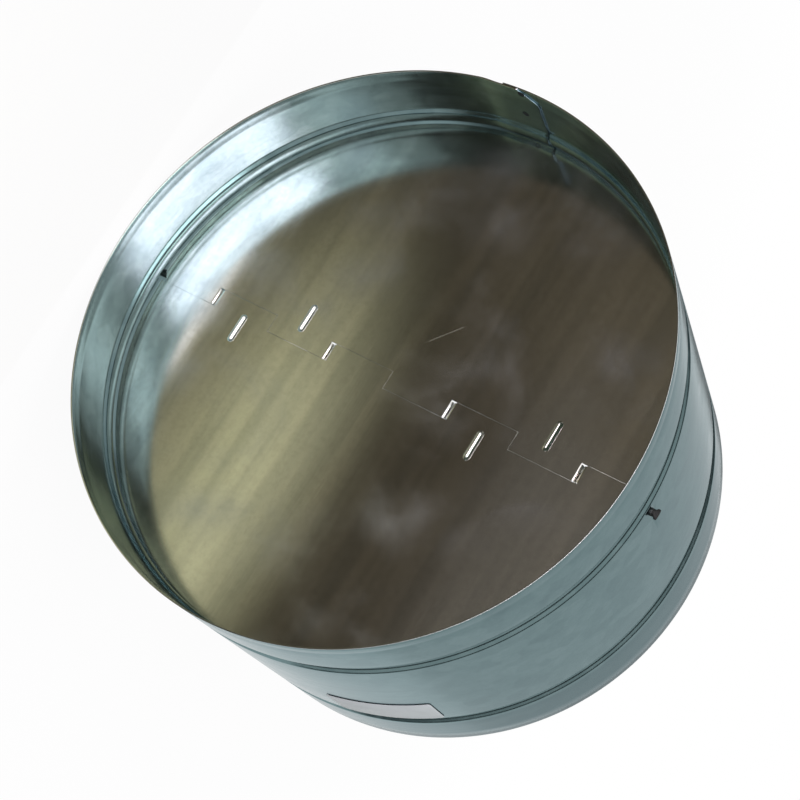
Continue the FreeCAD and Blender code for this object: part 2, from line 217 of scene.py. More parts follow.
# a faint line a few millimetres inside the rim, left by the edge of the roller
wall_line.to((-CASING_RADIUS, ROLLED_LINE - 1.0, 0), 2)
wall_line.to((-CASING_RADIUS + ROLLED_LINE_DEPTH, ROLLED_LINE, 0))
wall_line.to((-CASING_RADIUS, ROLLED_LINE + 1.2, 0))
for bead_place in BEAD_PLACES:
    roll_bead(wall_line, bead_place)
wall_line.to((-CASING_RADIUS, CASING_LENGTH, 0), 3)
wall_points = sorted((v.co.y, v.co.x + CASING_RADIUS) for v in casing_shape.verts)
print(f"the beads are {max(depth for place, depth in wall_points):.2f} mm deep")

# %% [markdown]
# The seam lies on the left, at -X. The outer end of the sheet starts 10 mm below it and the inner
# end stops 10 mm above it, with both corners cut off slantwise, which keeps them from catching in
# the roller. The spin tool turns at a constant radius, so the last steps are made one at a time,
# each extruded, turned and squeezed a little.

# %% Roll the sheet and tuck its end under
LAP_HALF = 10.25
LAP_REACH = math.degrees(LAP_HALF / CASING_RADIUS)
MAIN_TURN, JOGGLE_STEP, JOGGLE_STEPS, TUCK = 355, 0.55, 8, 0.75
bmesh.ops.rotate(casing_shape, verts=casing_shape.verts[:], cent=(0, 0, 0),
                 matrix=Matrix.Rotation(math.radians(-LAP_REACH), 3, "Y"))
rolled = bmesh.ops.spin(casing_shape, geom=casing_shape.verts[:] + casing_shape.edges[:],
                        cent=(0, 0, 0), axis=(0, 1, 0), angle=math.radians(MAIN_TURN),
                        steps=MAIN_TURN)
sheet_end = edges_of(rolled["geom_last"])
tucked = []
joggle = [(JOGGLE_STEP, TUCK / 2 * (1 - math.cos(math.pi * step / JOGGLE_STEPS)))
          for step in range(1, JOGGLE_STEPS + 1)]
rest_of_turn = 360 - MAIN_TURN - JOGGLE_STEP * JOGGLE_STEPS + 2 * LAP_REACH
inner_end = [(rest_of_turn / 9, TUCK)] * 9
for turn, squeeze in joggle + inner_end:
    grown = bmesh.ops.extrude_edge_only(casing_shape, edges=sheet_end)["geom"]
    new_vertices, sheet_end = vertices_of(grown), edges_of(grown)
    sheet_end = [e for e in sheet_end if all(v in new_vertices for v in e.verts)]
    bmesh.ops.rotate(casing_shape, verts=new_vertices, cent=(0, 0, 0),
                     matrix=Matrix.Rotation(math.radians(turn), 3, "Y"))
    for vertex in new_vertices:
        across = Vector((vertex.co.x, 0, vertex.co.z))
        pressed = squeeze - (tucked[-1] if tucked else 0)
        vertex.co -= across.normalized() * pressed
    tucked.append(squeeze)

# %% Cut the two corners of the inner end
CORNER_LENGTH, CORNER_WIDTH = 8.5, 12.0


def on_inner_end(face, rim):
    """Whether a face of the wall lies on the tucked end, not far from this rim."""
    middle = face.calc_center_median()
    return (middle.x < 0 and abs(middle.z) < LAP_HALF + 0.35 and abs(middle.y - rim) < 30
            and math.hypot(middle.x, middle.z) < CASING_RADIUS - 0.6)


for rim, inwards in ((0, 1), (CASING_LENGTH, -1)):
    inner_faces = [face for face in casing_shape.faces if on_inner_end(face, rim)]
    geometry = set(inner_faces)
    for face in inner_faces:
        geometry.update(face.edges)
        geometry.update(face.verts)
    bmesh.ops.bisect_plane(
        casing_shape, geom=list(geometry), dist=0.0001, clear_outer=True,
        plane_co=(0, rim + inwards * CORNER_LENGTH, LAP_HALF),
        plane_no=(0, -inwards * CORNER_WIDTH, CORNER_LENGTH))
face_outwards(casing_shape, lambda f: f.calc_center_median().z,
              lambda f: Vector((f.calc_center_median().x, 0, f.calc_center_median().z)))

# %% [markdown]
# The spindle passes through two punched holes. A Boolean with one long rod cuts both at once,
# after the wall has its thickness. The rod is only a tool, so it is thrown away afterwards.

# %% Drill the spindle holes and finish the casing
rod_shape = bmesh.new()
bmesh.ops.create_cone(rod_shape, cap_ends=True, segments=32, radius1=HOLE_RADIUS,
                      radius2=HOLE_RADIUS, depth=340,
                      matrix=Matrix.Translation((0, SPINDLE_PLACE, 0)))
rod_mesh = bpy.data.meshes.new("drill")
rod_shape.to_mesh(rod_mesh)
rod_shape.free()
drill = bpy.data.objects.new("drill", rod_mesh)
bpy.context.scene.collection.objects.link(drill)
casing = finish_piece("casing_sheet", casing_shape, "casing", "housing",
                      gauge=SHEET, edge=0.24, drill=drill)
bpy.data.objects.remove(drill)

# %% [markdown]
# ## The spot welds
#
# Every 22 mm or so a welding electrode has squeezed the overlap between two copper tips. What
# stays is a shallow round dimple with a slightly raised rim, 4 mm across and burnt brown. One
# profile line spun round its own axis makes a dimple, and copies of it are set along the seam.
# The wall's height differs in the beads, so a small function gives the height of the wall there.

# %% Where the wall is at a given place along the duct
def wall_at(place):
    """How far the outside lies below the full radius, and how much it leans, at a Y in mm."""
    for (start, high), (end, low) in zip(wall_points, wall_points[1:]):
        if start <= place < end:
            part = (place - start) / (end - start)
            return high + (low - high) * part, -math.atan2(low - high, end - start)
    return 0.0, 0.0


# %% Stamp the spot welds
WELD_RADIUS = 2.1
WELDS = [(3.4, 0.6), (22.6, -1.3), (45.6, -0.4), (69.5, -0.8), (92.0, 0.6),
         (114.0, -1.1), (136.5, 0.2), (162.0, 0.9), (176.5, -0.6), (191.0, 0.4)]
welds_shape = bmesh.new()
for place, height in WELDS:
    drop, lean = wall_at(place)
    for surface, side in ((CASING_RADIUS - drop, -1), (CASING_RADIUS - drop - 2 * SHEET - 0.05, 1)):
        stamp = bmesh.new()
        rim = Pen(stamp, (0, 0, 0))
        rim.to((0.04, 0.7, 0), 2).to((0.17, 1.2, 0), 2).to((0.15, 1.6, 0))
        rim.to((-0.05, WELD_RADIUS, 0), 2)
        bmesh.ops.spin(stamp, geom=stamp.verts[:] + stamp.edges[:], cent=(0, 0, 0),
                       axis=(1, 0, 0), angle=math.tau, steps=28, use_merge=True)
        bmesh.ops.remove_doubles(stamp, verts=stamp.verts[:], dist=0.001)
        if side < 0:
            bmesh.ops.rotate(stamp, verts=stamp.verts[:], cent=(0, 0, 0),
                             matrix=Matrix.Rotation(math.pi, 3, "Z"))
        bmesh.ops.rotate(stamp, verts=stamp.verts[:], cent=(0, 0, 0),
                         matrix=Matrix.Rotation(lean, 3, "Z"))
        bmesh.ops.translate(stamp, verts=stamp.verts[:], vec=(-surface, place, 0))
        bmesh.ops.rotate(stamp, verts=stamp.verts[:], cent=(0, 0, 0),
                         matrix=Matrix.Rotation(math.asin(height / CASING_RADIUS), 3, "Y"))
        face_outwards(stamp, lambda f: f.calc_area(), lambda f, s=side: Vector((s, 0, 0)))
        stamped = bpy.data.meshes.new("stamp")
        stamp.to_mesh(stamped)
        stamp.free()
        welds_shape.from_mesh(stamped)
        bpy.data.meshes.remove(stamped)
welds = finish_piece("spot_welds", welds_shape, None, "housing", crease=60)

# %% [markdown]
# ## The spindle
#
# The spindle is a drawn rod of 4 mm. Outside the wall each end has been squashed with a hammer or
# a press, so that it can't slip back in. A loop of vertices is extruded along the rod and scaled
# where the metal spreads. Scaling by different amounts along X and Y makes the flattened oval.

# %% Extrude and stake the spindle
spindle_shape = bmesh.new()
ring = bmesh.ops.create_circle(spindle_shape, radius=SPINDLE_RADIUS, segments=40,
                               matrix=Matrix.Translation((0, SPINDLE_PLACE, -158.5)))["verts"]
first_ring = list({edge for vertex in ring for edge in vertex.link_edges})


def grow_ring(shape, loop, rise, spread=(1, 1)):
    grown = bmesh.ops.extrude_edge_only(shape, edges=loop)["geom"]
    fresh = vertices_of(grown)
    bmesh.ops.translate(shape, verts=fresh, vec=(0, 0, rise))
    bmesh.ops.scale(shape, verts=fresh, vec=(spread[0], spread[1], 1),
                    space=Matrix.Translation((0, -SPINDLE_PLACE, 0)))
    return [e for e in edges_of(grown) if all(v in fresh for v in e.verts)]


loop = first_ring
for length in (1.5, 314.0, 1.5):
    loop = grow_ring(spindle_shape, loop, length)
for start, way in ((loop, 1), (first_ring, -1)):
    for rise, spread in ((0.35, (1.25, 0.9)), (0.35, (1.16, 0.8)), (0.9, (1.0, 0.9)),
                         (0.3, (0.97, 0.9)), (0.1, (0.88, 0.75))):
        start = grow_ring(spindle_shape, start, rise * way, spread)
    bmesh.ops.contextual_create(spindle_shape, geom=start)
face_outwards(spindle_shape, lambda f: f.calc_area(),
              lambda f: f.calc_center_median() - Vector((0, SPINDLE_PLACE,
                                                         f.calc_center_median().z)))
spindle = finish_piece("spindle_rod", spindle_shape, "spindle", "housing")

# %% [markdown]
# ## The blades
#
# Each blade is a half disc of 0.8 mm aluminium. Its straight side is cut into tabs that mesh with
# the other blade's like the knuckles of a door hinge. The end of every tab is bent back into a
# round ear with a hole for the spindle, and two long channels are pressed into the sheet to hold
# the legs of the springs. The flat part only needs an outline and one fill. The channels need a
# fine grid, so two grids are laid into the outline as holes and the fill joins them up.

# %% Draw the outline of a blade with the pen
TAB_EDGE, NOTCH_EDGE, HALF_EAR = 5.22, 5.38, 4.7
BEND_OUTSIDE = 1.4
EARS = (-3, -1, 1, 3)


def draw_blade_outline(shape):
    pen = Pen(shape, (0, BLADE_FACE, -BLADE_RADIUS))
    pen.to((TAB_EDGE, BLADE_FACE, 4 - BLADE_RADIUS))
    for ear in EARS:
        ear_end = TAB_PITCH * ear - 0.3 - BEND_OUTSIDE
        for x in (TAB_EDGE, HALF_EAR, -HALF_EAR, -NOTCH_EDGE):
            pen.to((x, BLADE_FACE, ear_end))
        if ear < 3:
            next_tab = TAB_PITCH * (ear + 1) + 0.08
            pen.to((-NOTCH_EDGE, BLADE_FACE, next_tab)).to((TAB_EDGE, BLADE_FACE, next_tab))
    top = math.sqrt(BLADE_RADIUS ** 2 - NOTCH_EDGE ** 2)
    pen.to((-NOTCH_EDGE, BLADE_FACE, top))
    opening = 180 - math.degrees(math.asin(NOTCH_EDGE / BLADE_RADIUS))
    pen.arc((0, BLADE_FACE, 0), (0, 1, 0), -opening, 178)
    print("the outline closes at", [round(c, 2) for c in pen.tip.co])


# %% Press a channel into a fine grid
CHANNEL_START, CHANNEL_END = -2.5, -19.7
CHANNEL_RISE, CHANNEL_HALF_WIDTH = 2.0, 1.9
CHANNEL_HEIGHTS = (-60.96, 95.04)


def lay_channel_grid(shape, middle_z):
    """A grid in the blade's face. Its middle is raised towards the air into a round-ended rib."""
    middle_x = (CHANNEL_START + CHANNEL_END) / 2
    half_long, half_wide = 10.8, 3.6
    place = (Matrix.Translation((middle_x, BLADE_FACE, middle_z))
             @ Matrix.Rotation(math.radians(-90), 4, "X")
             @ Matrix.Diagonal((half_long, half_wide, 1, 1)))
    grid = bmesh.ops.create_grid(shape, x_segments=84, y_segments=44, size=1, matrix=place)
    spine = (CHANNEL_START - CHANNEL_HALF_WIDTH, CHANNEL_END + CHANNEL_HALF_WIDTH)
    for vertex in grid["verts"]:
        along = min(max(vertex.co.x, spine[1]), spine[0])
        away = math.hypot(vertex.co.x - along, vertex.co.z - middle_z)
        vertex.co.y -= CHANNEL_RISE * max(1 - (away / CHANNEL_HALF_WIDTH) ** 2, 0) ** 0.85


# %% [markdown]
# An ear is made as the press makes it. The edge at the end of the tab is spun by a quarter turn,
# which gives the bend, and a flat ear with its hole is filled in behind the last edge.

# %% Bend the ears
def bend_ear(shape, ear):
    ear_end = TAB_PITCH * ear - 0.3 - BEND_OUTSIDE
    tab_end = [e for e in shape.edges
               if all(abs(v.co.z - ear_end) < 0.001 and abs(v.co.x) < HALF_EAR + 0.01
                      and abs(v.co.y - BLADE_FACE) < 0.001 for v in e.verts)]
    bmesh.ops.spin(shape, geom=tab_end + vertices_of(tab_end[0].verts),
                   cent=(0, BLADE_FACE + BEND_OUTSIDE, ear_end), axis=(1, 0, 0),
                   angle=math.radians(-90), steps=7)
    root, plane = BLADE_FACE + BEND_OUTSIDE, ear_end + BEND_OUTSIDE
    before = set(shape.edges)
    pen = Pen(shape, (HALF_EAR, root, plane))
    pen.to((HALF_EAR, SPINDLE_PLACE, plane))
    pen.arc((0, SPINDLE_PLACE, plane), (0, 0, 1), 180, 24)
    pen.to((-HALF_EAR, root, plane)).to((HALF_EAR, root, plane))
    bmesh.ops.create_circle(shape, radius=HOLE_RADIUS, segments=28,
                            matrix=Matrix.Translation((0, SPINDLE_PLACE, plane)))
    outline = [e for e in shape.edges if e not in before]
    bmesh.ops.remove_doubles(shape, verts=list({v for e in outline for v in e.verts}), dist=0.001)
    outline = [e for e in shape.edges if e not in before]
    bmesh.ops.triangle_fill(shape, use_beauty=True, edges=outline)
    bmesh.ops.remove_doubles(shape, verts=shape.verts[:], dist=0.001)


def build_blade(name, body, node, half_turn):
    shape = bmesh.new()
    draw_blade_outline(shape)
    bmesh.ops.remove_doubles(shape, verts=shape.verts[:], dist=0.005)
    for middle_z in CHANNEL_HEIGHTS:
        lay_channel_grid(shape, middle_z)
    rims = [e for e in shape.edges if e.is_boundary or e.is_wire]
    bmesh.ops.triangle_fill(shape, use_beauty=True, edges=rims)
    for ear in EARS:
        bend_ear(shape, ear)
    face_outwards(shape, lambda f: f.calc_area(), lambda f: Vector((0, -1, 0)))
    if half_turn:
        bmesh.ops.rotate(shape, verts=shape.verts[:], cent=(0, 0, 0),
                         matrix=Matrix.Rotation(math.pi, 3, "Y"))
    return finish_piece(name, shape, node, body, gauge=BLADE_SHEET, edge=0.04,
                        flat_along=Vector((0, 1, 0)))


left_blade = build_blade("left_blade_sheet", "left_leaf", "blade_left", False)
right_blade = build_blade("right_blade_sheet", "right_leaf", "blade_right", True)

# %% [markdown]
# ## The springs
#
# Two torsion springs sit on the spindle and push the blades shut. When a blade opens, the leg in
# its channel turns with it while the middle of the coil stays where it is. Each spring is made as
# two halves that meet in the middle of the coil. The spin tool winds the wire: it turns a
# small circle round the spindle and moves it along by a fraction of the pitch at every step.

# %% Wind the springs
WIRE_RADIUS, COIL_RADIUS, HALF_COIL, HALF_TURNS = 0.6, 3.3, 17.04, 12
LEG_REACH, LEG_DEPTH, LEG_BEND = 17.6, 2.9, 3.0


def wind_half_spring(name, node, middle_z, side):
    """side +1 winds down to the right blade's leg, side -1 winds up to the left blade's."""
    steps = HALF_TURNS * 20
    shape = bmesh.new()
    top = Vector((0, SPINDLE_PLACE - COIL_RADIUS, middle_z))
    ring = bmesh.ops.create_circle(
        shape, radius=WIRE_RADIUS, segments=12,
        matrix=Matrix.Translation(top) @ Matrix.Rotation(math.radians(90), 4, "Y"))["verts"]
    section = list({e for v in ring for e in v.link_edges})
    wound = bmesh.ops.spin(shape, geom=ring + section, cent=(0, SPINDLE_PLACE, 0), axis=(0, 0, 1),
                           angle=math.tau * HALF_TURNS * side, steps=steps,
                           dvec=(0, 0, -side * HALF_COIL / steps))
    # the leg leaves the coil in a gentle bend and runs straight into the channel
    lean = math.atan2(LEG_DEPTH, LEG_REACH)
    level = middle_z - side * HALF_COIL
    bent = bmesh.ops.spin(shape, geom=wound["geom_last"], angle=-lean * side, steps=4,
                          cent=(0, top.y - LEG_BEND, level), axis=(0, 0, 1))
    run = (LEG_REACH - LEG_BEND * math.sin(lean)) / math.cos(lean)
    loop = edges_of(bent["geom_last"])
    for step, shrink in ((run * 0.5, 1), (run * 0.5 - 0.2, 1), (0.2, 0.8)):
        grown = bmesh.ops.extrude_edge_only(shape, edges=loop)["geom"]
        fresh = vertices_of(grown)
        bmesh.ops.translate(shape, verts=fresh,
                            vec=(side * step * math.cos(lean), -step * math.sin(lean), 0))
        loop = [e for e in edges_of(grown) if all(v in fresh for v in e.verts)]
        middle = sum((v.co for v in fresh), Vector()) / len(fresh)
        bmesh.ops.scale(shape, verts=fresh, vec=(1, shrink, shrink),
                        space=Matrix.Translation(-middle))
    bmesh.ops.contextual_create(shape, geom=loop)
    bmesh.ops.contextual_create(shape, geom=section)
    bmesh.ops.recalc_face_normals(shape, faces=shape.faces[:])
    half = finish_piece(name, shape, node, crease=50)
    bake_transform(half)
    return half


springs = [
    wind_half_spring(f"{node}_{word}_half", node, middle_z, side)
    for node, middle_z in (("spring_lower", -2 * TAB_PITCH), ("spring_upper", 2 * TAB_PITCH))
    for word, side in (("right", 1), ("left", -1))
]

# %% [markdown]
# ## The sticker
#
# A paper label sits outside, high on the right, just before the rear bead. It is kept blank. It
# is cut flat with rounded corners, sliced into narrow strips, and only then wrapped on the wall,
# which is exactly what a hand does with a real one.

# %% Cut, slice and wrap the sticker
LABEL_WIDTH, LABEL_HEIGHT, LABEL_PLACE, LABEL_ANGLE = 58.5, 31.0, 113.0, 23.5
LABEL_INSIDE = CASING_RADIUS + 0.3
label_shape = bmesh.new()
bmesh.ops.create_grid(label_shape, x_segments=1, y_segments=1, size=0.5,
                      matrix=Matrix.Translation((0, LABEL_PLACE + LABEL_HEIGHT / 2, 0))
                      @ Matrix.Diagonal((LABEL_WIDTH, LABEL_HEIGHT, 1, 1)))
bmesh.ops.bevel(label_shape, geom=label_shape.verts[:], affect="VERTICES", offset=2.0,
                segments=5, profile=0.5, material=-1)
for cut in range(1, 30):
    bmesh.ops.bisect_plane(label_shape, geom=label_shape.verts[:] + label_shape.edges[:]
                           + label_shape.faces[:], dist=0.0001, plane_no=(1, 0, 0),
                           plane_co=(LABEL_WIDTH * (cut / 30 - 0.5), 0, 0))
for vertex in label_shape.verts:
    around = math.radians(LABEL_ANGLE) + vertex.co.x / LABEL_INSIDE
    vertex.co.x = math.cos(around) * (LABEL_INSIDE + 0.2)
    vertex.co.z = math.sin(around) * (LABEL_INSIDE + 0.2)
face_outwards(label_shape, lambda f: f.calc_area(), lambda f: f.calc_center_median())
label = finish_piece("sticker", label_shape, "label", "housing", gauge=0.2,
                     edge=0.05)

# %% [markdown]
# ## Writing shader maths as sums
#
# A material is a graph of small nodes. Wiring sums by hand hides what they mean, so a class wraps
# a socket and turns plus, minus, times and divide into Math nodes. Everything else, such as a
# noise, a ramp or a colour mix, comes from one method that takes the node's type, its settings
# and what goes into its sockets.

# %% The shader helpers
class Signal:
    """The output of a node, which can be used in sums and products."""

    def __init__(self, finish, socket):
        self.finish, self.socket = finish, socket

    def maths(self, operation, first, second=0.0):
        return self.finish.node("ShaderNodeMath", {"operation": operation}, {0: first, 1: second})

    def __add__(self, other):
        return self.maths("ADD", self, other)

    def __sub__(self, other):
        return self.maths("SUBTRACT", self, other)

    def __rsub__(self, other):
        return self.maths("SUBTRACT", other, self)

    def __mul__(self, other):
        return self.maths("MULTIPLY", self, other)

    def __truediv__(self, other):
        return self.maths("DIVIDE", self, other)

    def __pow__(self, other):
        return self.maths("POWER", self, other)

    __radd__ = __add__
    __rmul__ = __mul__

    def between(self, low, high):
        """0 below low, 1 above high and smooth in between."""
        return self.finish.node("ShaderNodeMapRange", {"interpolation_type": "SMOOTHSTEP"},
                                {"Value": self, "From Min": low, "From Max": high})


class Finish:
    """A material that is being put together."""

    def __init__(self, name):
        self.material = bpy.data.materials.new(name)
        self.material.use_nodes = True
        self.tree = self.material.node_tree
        self.tree.nodes.clear()

    def node(self, kind, settings=None, sockets=None, output=0):
        made = self.tree.nodes.new(kind)
        for key, value in (settings or {}).items():
            if key == "stops":
                ramp = made.color_ramp
                while len(ramp.elements) < len(value):
                    ramp.elements.new(1.0)
                for element, (place, tint) in zip(ramp.elements, value):
                    element.position, element.color = place, tint
            else:
                setattr(made, key, value)
        for key, value in (sockets or {}).items():
            if isinstance(value, Signal):
                self.tree.links.new(value.socket, made.inputs[key])
            else:
                made.inputs[key].default_value = value
        return Signal(self, made.outputs[output])

    def place(self):
        return self.node("ShaderNodeTexCoord", output="Object")

    def split(self, vector):
        return [self.node("ShaderNodeSeparateXYZ", {}, {0: vector}, output=axis) for axis in "XYZ"]

    def stretch(self, vector, scale, turn=(0, 0, 0), shift=(0, 0, 0)):
        return self.node("ShaderNodeMapping", {}, {"Vector": vector, "Scale": scale,
                                                   "Rotation": turn, "Location": shift})

    def noise(self, vector, scale, detail=3.0, rough=0.5, distortion=0.0):
        return self.node("ShaderNodeTexNoise", {}, {
            "Vector": vector, "Scale": scale, "Detail": detail, "Roughness": rough,
            "Distortion": distortion})

    def mix(self, factor, first, second, way="MIX"):
        return self.node("ShaderNodeMix", {"data_type": "RGBA", "blend_type": way},
                         {0: factor, 6: first, 7: second}, output=2)

    def bump(self, height, depth, strength=1.0, under=None):
        sockets = {"Height": height, "Distance": depth, "Strength": strength}
        if under is not None:
            sockets["Normal"] = under
        return self.node("ShaderNodeBump", {}, sockets)

    def surface(self, sockets):
        shader = self.node("ShaderNodeBsdfPrincipled", {}, sockets)
        self.node_output(shader)
        return self.material

    def node_output(self, shader):
        end = self.tree.nodes.new("ShaderNodeOutputMaterial")
        self.tree.links.new(shader.socket, end.inputs["Surface"])


def paint(red, green, blue):
    """A colour as a screen shows it, in the linear numbers that a shader wants."""
    return tuple((c / 255 / 12.92) if c < 11 else ((c / 255 + 0.055) / 1.055) ** 2.4
                 for c in (red, green, blue)) + (1.0,)


# %% [markdown]
# ## Galvanised sheet
#
# Zinc freezes in crystals. On thin duct sheet they are small and faint, so the wall shows a soft
# mottle about a centimetre across, a finer grain, and long scuffs that run round the duct, where
# the rollers gripped it. The mottle changes both colour and roughness, because a crystal that
# looks paler also spreads the light differently.

# %% Mix the galvanised finish
def galvanised(name, burnt=False):
    zinc = Finish(name)
    place = zinc.place()
    x, y, z = zinc.split(place)
    around = zinc.node("ShaderNodeMath", {"operation": "ARCTAN2"}, {0: z, 1: x})
    wrapped = zinc.node("ShaderNodeCombineXYZ", {}, {0: around * 0.157, 1: y, 2: 0.0})
    crystals = zinc.node("ShaderNodeTexVoronoi", {"feature": "SMOOTH_F1"}, {
        "Vector": place, "Scale": 105.0, "Smoothness": 0.35, "Randomness": 1.0}, output="Color")
    crystal = zinc.node("ShaderNodeSeparateColor", {}, {0: crystals})
    cloud = zinc.noise(place, 26.0, 4.0, 0.6, 0.6)
    grain = zinc.noise(place, 420.0, 3.0, 0.6)
    scuffs = zinc.noise(zinc.stretch(place, (1, 60, 1)), 9.0, 5.0, 0.65)
    mottle = crystal * 0.22 + cloud * 0.5 + grain * 0.28
    tone = zinc.node("ShaderNodeValToRGB", {"stops": [
        (0.28, paint(103, 125, 128)), (0.5, paint(113, 136, 138)), (0.72, paint(125, 147, 149))]},
        {0: mottle})
    stains_and_painted_light = zinc.mix(scuffs.between(0.5, 0.8) * 0.12, tone, paint(98, 108, 106))
    if burnt:
        stains_and_painted_light = zinc.mix(cloud.between(0.3, 0.7) * 0.2 + 0.8, stains_and_painted_light, paint(20, 15, 12))
    # painted shade: from 158 mm on towards the outlet the wall is painted darker, standing in for a
    # darker reflection there
    stains_and_painted_light = zinc.mix(y.between(0.158, 0.163) * 0.55, stains_and_painted_light, paint(84, 103, 107))
    if not burnt:
        # the cut face of the inlet rim is painted pale: partly the bright cut edge of the sheet,
        # partly a painted highlight along the rim
        stains_and_painted_light = zinc.mix(1 - y.between(0.0002, 0.0005), stains_and_painted_light, paint(206, 210, 208))
        # the tucked end and a strip beside it are painted dark: partly the dark cut edge of the
        # sheet, partly painted shade in the step of the overlap, which also hides the edge's
        # highlight
        lap_end_and_step_shade = z.between(0.0099, 0.0101) * (1 - z.between(0.0105, 0.0107))
        lap_end_and_step_shade = lap_end_and_step_shade * (1 - x.between(-0.15, -0.14))
        stains_and_painted_light = zinc.mix(lap_end_and_step_shade * 0.75, stains_and_painted_light, paint(52, 60, 64))
    roughness = 0.13 + crystal * 0.04 + scuffs.between(0.4, 0.7) * 0.04 + cloud * 0.05
    if burnt:
        roughness = roughness + 0.45
    bumps = zinc.bump(grain * 0.4 + crystal * 0.6, 0.00004, 0.35)
    waves = zinc.bump(zinc.noise(wrapped, 9.0, 1.0, 0.3), 0.0012, 0.06,
                      bumps)
    return zinc.surface({"Base Color": stains_and_painted_light, "Metallic": 0.0 if burnt else 1.0,
                         "Specular Tint": (0.74, 0.80, 0.82, 1.0),
                         "Specular IOR Level": 0.08 if burnt else 0.5,
                         "Roughness": roughness, "Normal": waves})


casing.data.materials.clear()
casing.data.materials.append(galvanised("galvanised_sheet"))
welds.data.materials.clear()
welds.data.materials.append(galvanised("burnt_weld", burnt=True))

# %% [markdown]
# ## Mill aluminium
#
# The blades are bright rolled aluminium that nobody has polished: they mirror their surroundings
# softly. Hands and packaging have left bluish smudges, where the metal is a little duller, and a
# few fine scratches. All of that is faint, so most of the look comes from what the blades mirror.

# %% Mix the aluminium finish
def scratch(finish, x, z, start, end, width):
    """A mask of one straight scratch in the plane of the blade, from start to end."""
    (x1, z1), (x2, z2) = start, end
    length = math.hypot(x2 - x1, z2 - z1)
    along_x, along_z = (x2 - x1) / length, (z2 - z1) / length
    along = (x - x1) * along_x + (z - z1) * along_z
    aside = (x - x1) * (-along_z) + (z - z1) * along_x
    near = 1 - (aside * aside).between((width * 0.3) ** 2, width ** 2)
    return near * along.between(0, length * 0.3) * (1 - along.between(length * 0.8, length))


def aluminium(name):
    metal = Finish(name)
    place = metal.place()
    x, y, z = metal.split(place)
    haze = metal.noise(place, 13.0, 4.0, 0.55, 0.8)
    dabs = metal.node("ShaderNodeTexVoronoi", {"feature": "SMOOTH_F1"}, {
        "Vector": metal.stretch(place, (1, 1, 0.7), (0, 0.7, 0)), "Scale": 26.0,
        "Smoothness": 0.6}, output="Distance")
    smudge = (1 - dabs.between(0.0, 0.6)) * haze.between(0.40, 0.64)
    # a greasy film where the sheets were handled, and a fine grain left by the rolling mill
    film = metal.noise(metal.stretch(place, (1, 1, 0.8), (0, 0.5, 0)), 30.0, 4.0, 0.55)
    smudge = smudge * 0.6 + film.between(0.42, 0.8) * haze.between(0.36, 0.66) * 0.6
    grain = metal.noise(place, 360.0, 3.0, 0.7)
    fine = metal.noise(metal.stretch(place, (1, 1, 34), (0, 0.5, 0)), 30.0, 4.0, 0.6)
    hair = metal.noise(metal.stretch(place, (90, 1, 2), (0, -0.35, 0)), 12.0, 2.0, 0.5)
    lines = scratch(metal, x, z, (-0.0244, 0.0050), (-0.0457, 0.0235), 0.00035)
    for start, end in (((0.062, -0.03), (0.07, -0.018)), ((-0.06, 0.05), (-0.052, 0.068))):
        lines = lines + scratch(metal, x, z, start, end, 0.0002) * 0.4
    streaks = metal.noise(metal.stretch(place, (1, 1, 15), (0, 0.12, 0)), 5.0, 3.0, 0.55)
    base = metal.mix(streaks.between(0.35, 0.68), paint(232, 230, 222), paint(206, 206, 200))
    base = metal.mix(grain.between(0.4, 0.7) * 0.16, base, paint(150, 146, 138))
    dulled = metal.mix(smudge * 0.6, base, paint(190, 198, 208))
    scored = metal.mix(lines * 0.4, dulled, paint(246, 246, 244))
    roughness = 0.13 + smudge * 0.16 + haze.between(0.4, 0.8) * 0.04 + lines * 0.2
    score = metal.bump(fine * 0.5 + hair * 0.5, 0.00003, 0.3)
    sag = metal.bump(metal.noise(metal.stretch(place, (1, 1, 1.6)), 5.0, 1.0, 0.3), 0.004, 0.025,
                     score)
    return metal.surface({"Base Color": scored, "Metallic": 1 - smudge * 0.07,
                          "Roughness": roughness, "Normal": sag})


mill_aluminium = aluminium("mill_aluminium")
for blade in (left_blade, right_blade):
    blade.data.materials.clear()
    blade.data.materials.append(mill_aluminium)

# %% [markdown]
# ## Drawn steel, spring wire and paper
#
# The small parts share one steel recipe with lengthwise drawing lines. The spindle is darker than
# the springs, and nearly black where it was staked. The sticker is matt paper with a faint fibre
# and a little grime.

# %% Mix the small finishes
def drawn_steel(name, dark, pale, roughness, burnt_ends=False):
    steel = Finish(name)
    place = steel.place()
    height = steel.split(place)[2]
    lines = steel.noise(steel.stretch(place, (420, 420, 9)), 2.0, 3.0, 0.6)
    patches = steel.noise(place, 120.0, 3.0, 0.6)
    tone = steel.mix(lines * 0.5 + patches * 0.5, paint(*dark), paint(*pale))
    if burnt_ends:
        ends = (height * height).between(0.1568 ** 2, 0.1574 ** 2)
        tone = steel.mix(ends * 0.9, tone, paint(38, 40, 40))
        roughness = roughness + ends * 0.3
    return steel.surface({"Base Color": tone, "Metallic": 1.0,
                          "Roughness": roughness + patches * 0.15,
                          "Normal": steel.bump(lines, 0.00003, 0.4)})


def label_paper(name):
    paper = Finish(name)
    place = paper.place()
    fibre = paper.noise(place, 900.0, 4.0, 0.7)
    grime = paper.noise(place, 60.0, 4.0, 0.6)
    tone = paper.mix(grime.between(0.45, 0.8) * 0.5, paint(188, 196, 197), paint(170, 178, 179))
    return paper.surface({"Base Color": tone, "Metallic": 0.0, "Roughness": 0.45 + grime * 0.2,
                          "Normal": paper.bump(fibre, 0.00003, 0.3)})


